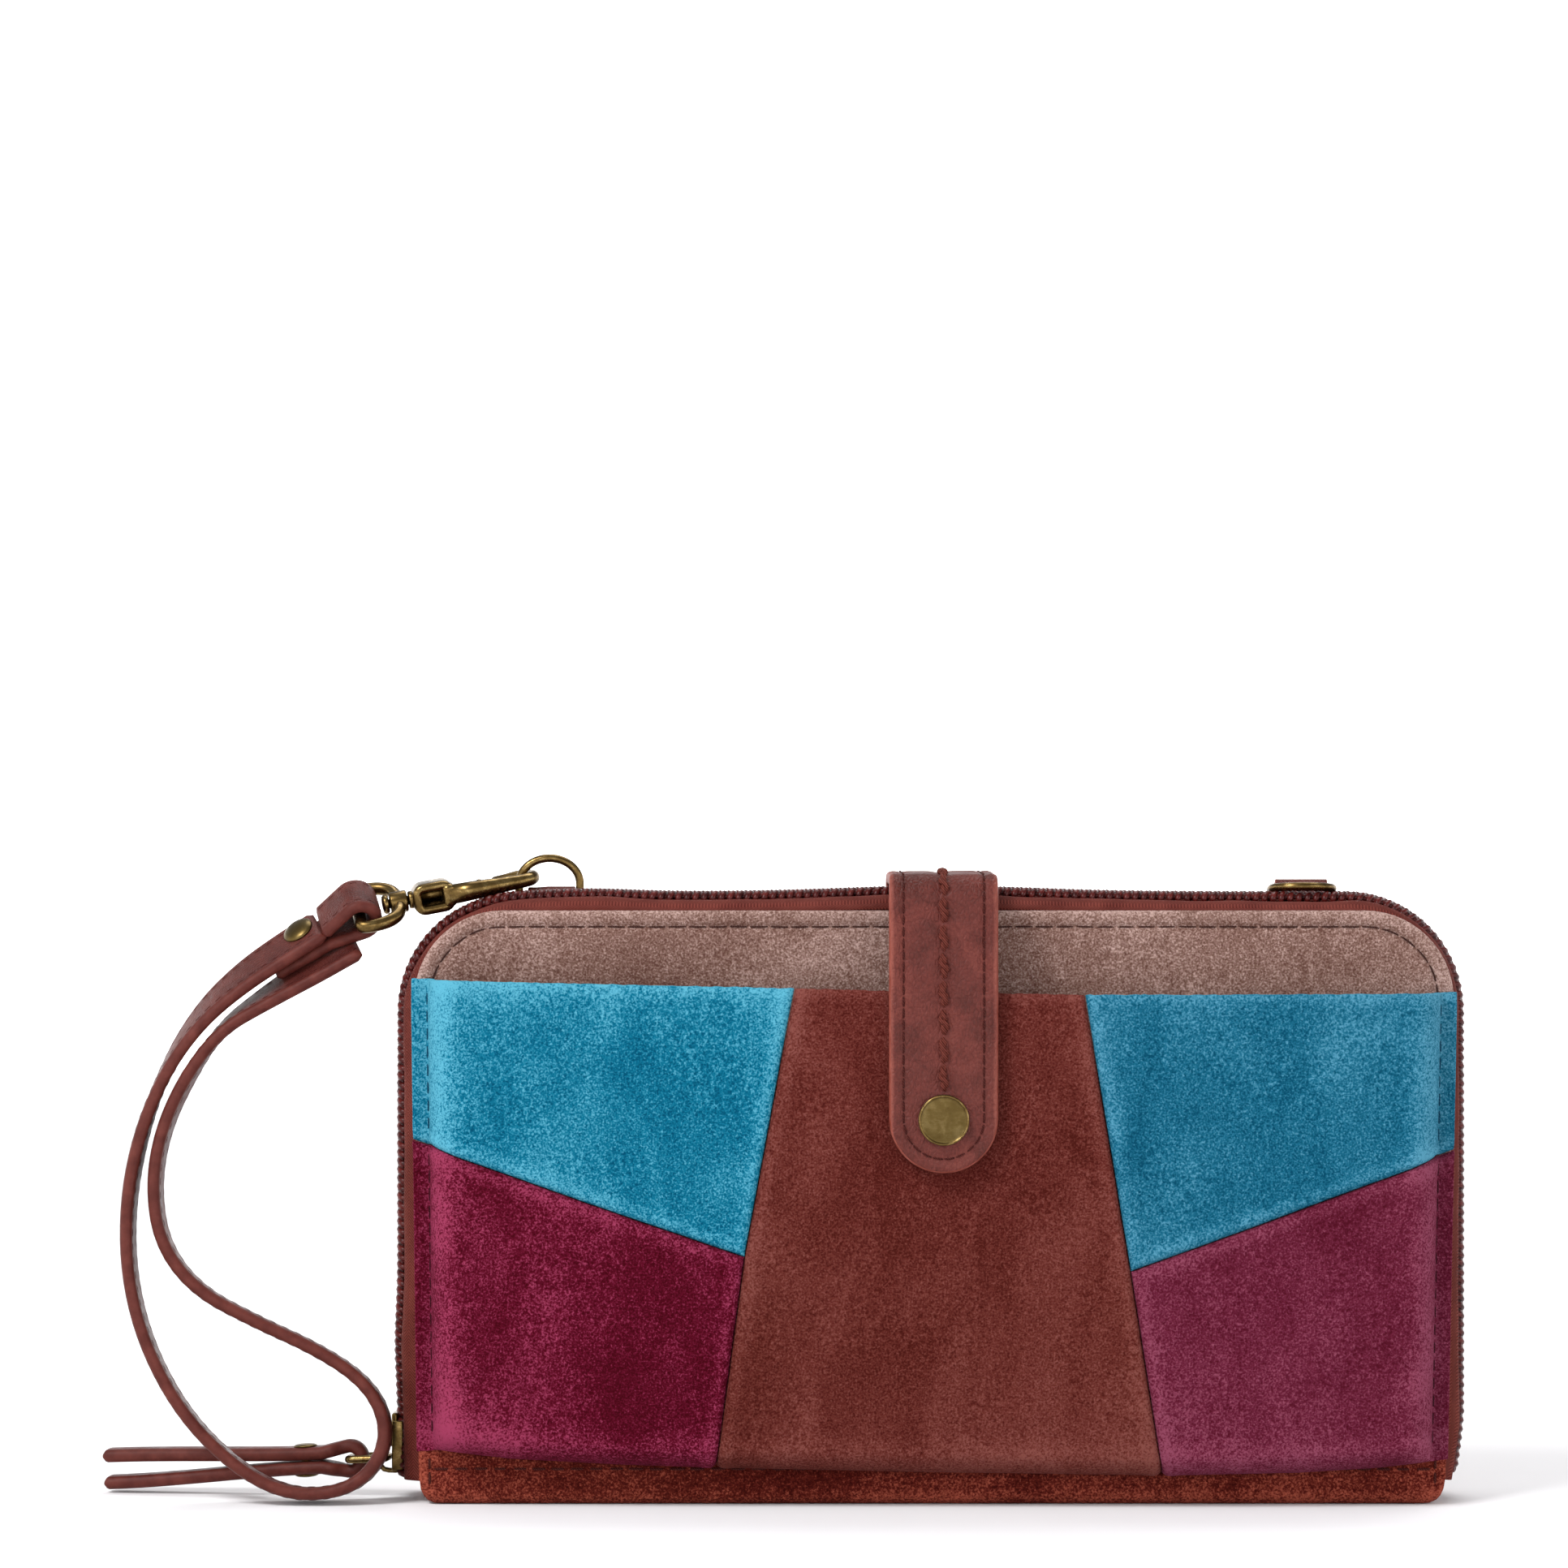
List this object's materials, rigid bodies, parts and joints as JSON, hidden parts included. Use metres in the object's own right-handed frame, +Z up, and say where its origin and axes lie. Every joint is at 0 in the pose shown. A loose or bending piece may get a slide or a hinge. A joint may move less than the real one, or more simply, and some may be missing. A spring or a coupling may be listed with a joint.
{
  "type": "wristlet wallet",
  "caption": "Zip-around phone wallet with patchwork front pocket, snap closure tab, D-rings, clip-on folded wrist strap, zipper pull, card pockets and a zipped coin pocket.",
  "frame": {"origin": "on the floor under the middle of the spine, on the middle plane between the two rows of zipper coils", "axes": "+X to the right of the front face, +Y from the front pocket to the back cover, +Z up from the spine to the zipper"},
  "size_m": [0.2613, 0.0401, 0.1241],
  "materials": {
    "suede_blue": "matte",
    "suede_wine": "matte",
    "suede_plum": "matte",
    "suede_brown": "matte",
    "suede_taupe": "matte",
    "suede_rust": "matte",
    "grain_leather": "satin",
    "lining_fabric": "matte",
    "pocket_fabric": "matte",
    "zip_tape": "matte",
    "zip_coil": "gloss",
    "stiff_board": "matte",
    "antique_brass": "satin"
  },
  "bodies": {
    "root": {"back_cover": "suede_taupe", "back_lining": "lining_fabric", "spine": "suede_rust", "spine_board": "stiff_board", "back_zip_tape": "zip_tape", "back_zip_coil": "zip_coil", "side_gusset_left": "lining_fabric", "side_gusset_right": "lining_fabric", "ring_loop_left": "grain_leather", "ring_loop_right": "grain_leather", "tab_anchor": "grain_leather", "back_card_pocket_1": "pocket_fabric", "back_card_pocket_2": "pocket_fabric", "back_card_pocket_3": "pocket_fabric"},
    "front_cover": {"front_cover": "suede_taupe", "front_lining": "lining_fabric", "spine_front_flange": "suede_rust", "front_zip_tape": "zip_tape", "front_zip_coil": "zip_coil", "snap_socket": "antique_brass", "patch_upper_left": "suede_blue", "patch_lower_left": "suede_wine", "patch_centre": "suede_brown", "patch_upper_right": "suede_blue", "patch_lower_right": "suede_plum", "front_card_pocket_1": "pocket_fabric", "front_card_pocket_2": "pocket_fabric"},
    "closure_tab": {"closure_tab": "grain_leather", "snap_cap": "antique_brass", "snap_stud": "antique_brass"},
    "coin_pocket": {"coin_pocket_front": "pocket_fabric", "coin_pocket_back": "pocket_fabric", "coin_pocket_binding": "pocket_fabric", "coin_zip_tape": "zip_tape", "coin_zip_coil": "zip_coil"},
    "coin_slider": {"coin_slider": "antique_brass"},
    "coin_puller": {"coin_puller": "antique_brass"},
    "zip_slider": {"zip_slider": "antique_brass"},
    "zip_pull": {"pull_link": "antique_brass", "pull_strap": "grain_leather", "pull_rivet": "antique_brass"},
    "d_ring_left": {"d_ring_left": "antique_brass"},
    "d_ring_right": {"d_ring_right": "antique_brass"},
    "hook": {"hook_body": "antique_brass"},
    "hook_gate": {"hook_gate": "antique_brass"},
    "swivel_eye": {"swivel_eye": "antique_brass"},
    "wrist_strap": {"wrist_strap": "grain_leather", "strap_fold": "grain_leather", "strap_flap": "grain_leather", "strap_rivet": "antique_brass"}
  },
  "joints": [
    {"name": "tab_lift", "type": "hinge", "parent": "root", "child": "closure_tab", "pos_m": [0.0019, 0.0132, 0.118], "axis": [-1, 0, 0], "range_deg": [0, 160]},
    {"name": "cover_open", "type": "hinge", "parent": "root", "child": "front_cover", "pos_m": [0, -0.012, 0.0012], "axis": [1, 0, 0], "range_deg": [0, 40], "deforming": ["side_gusset_left", "side_gusset_right"]},
    {"name": "coin_pocket_lean", "type": "hinge", "parent": "root", "child": "coin_pocket", "pos_m": [0, 0, 0.003], "axis": [1, 0, 0], "range_deg": [0, 20]},
    {"name": "coin_slide", "type": "slide", "parent": "coin_pocket", "child": "coin_slider", "axis": [1, 0, 0], "range_m": [0, 0.148]},
    {"name": "coin_puller_lift", "type": "hinge", "parent": "coin_slider", "child": "coin_puller", "pos_m": [-0.0755, 0, 0.1], "axis": [0, -1, 0], "range_deg": [0, 38]},
    {"name": "zip_slide", "type": "slide", "parent": "root", "child": "zip_slider", "axis": [0, 0, 1], "range_m": [0, 0.07]},
    {"name": "pull_lift", "type": "hinge", "parent": "zip_slider", "child": "zip_pull", "pos_m": [-0.105, 0, 0.0077], "axis": [0.1495, 0.9888, 0], "range_deg": [0, 61]},
    {"name": "ring_left_lean", "type": "hinge", "parent": "root", "child": "d_ring_left", "pos_m": [-0.0738, 0.005, 0.1158], "axis": [-1, 0, 0], "range_deg": [0, 20]},
    {"name": "ring_right_lean", "type": "hinge", "parent": "root", "child": "d_ring_right", "pos_m": [0.072, 0.005, 0.1172], "axis": [-1, 0, 0], "range_deg": [0, 150]},
    {"name": "hook_swing", "type": "hinge", "parent": "d_ring_left", "child": "hook", "pos_m": [-0.07991, 0.00496, 0.11915], "axis": [-0.1601, 0.9798, 0.1198], "range_deg": [0, 10]},
    {"name": "gate_slide", "type": "slide", "parent": "hook", "child": "hook_gate", "axis": [-0.9737, -0.1368, -0.1822], "range_m": [0, 0.0045], "stiffness_N_per_m": 60},
    {"name": "swivel_turn", "type": "hinge", "parent": "hook", "child": "swivel_eye", "pos_m": [-0.07991, 0.00496, 0.11915], "axis": [-0.9737, -0.1368, -0.1822], "range_deg": [0, 120]},
    {"name": "strap_swing", "type": "hinge", "parent": "swivel_eye", "child": "wrist_strap", "pos_m": [-0.11078, 0.00062, 0.11337], "axis": [-0.2108, 0.8449, 0.4916], "range_deg": [0, 90]}
  ],
  "couplings": [
    {"joint": "cover_open", "follows": "tab_lift", "ratio": 0.25},
    {"joint": "coin_pocket_lean", "follows": "tab_lift", "ratio": 0.125}
  ]
}
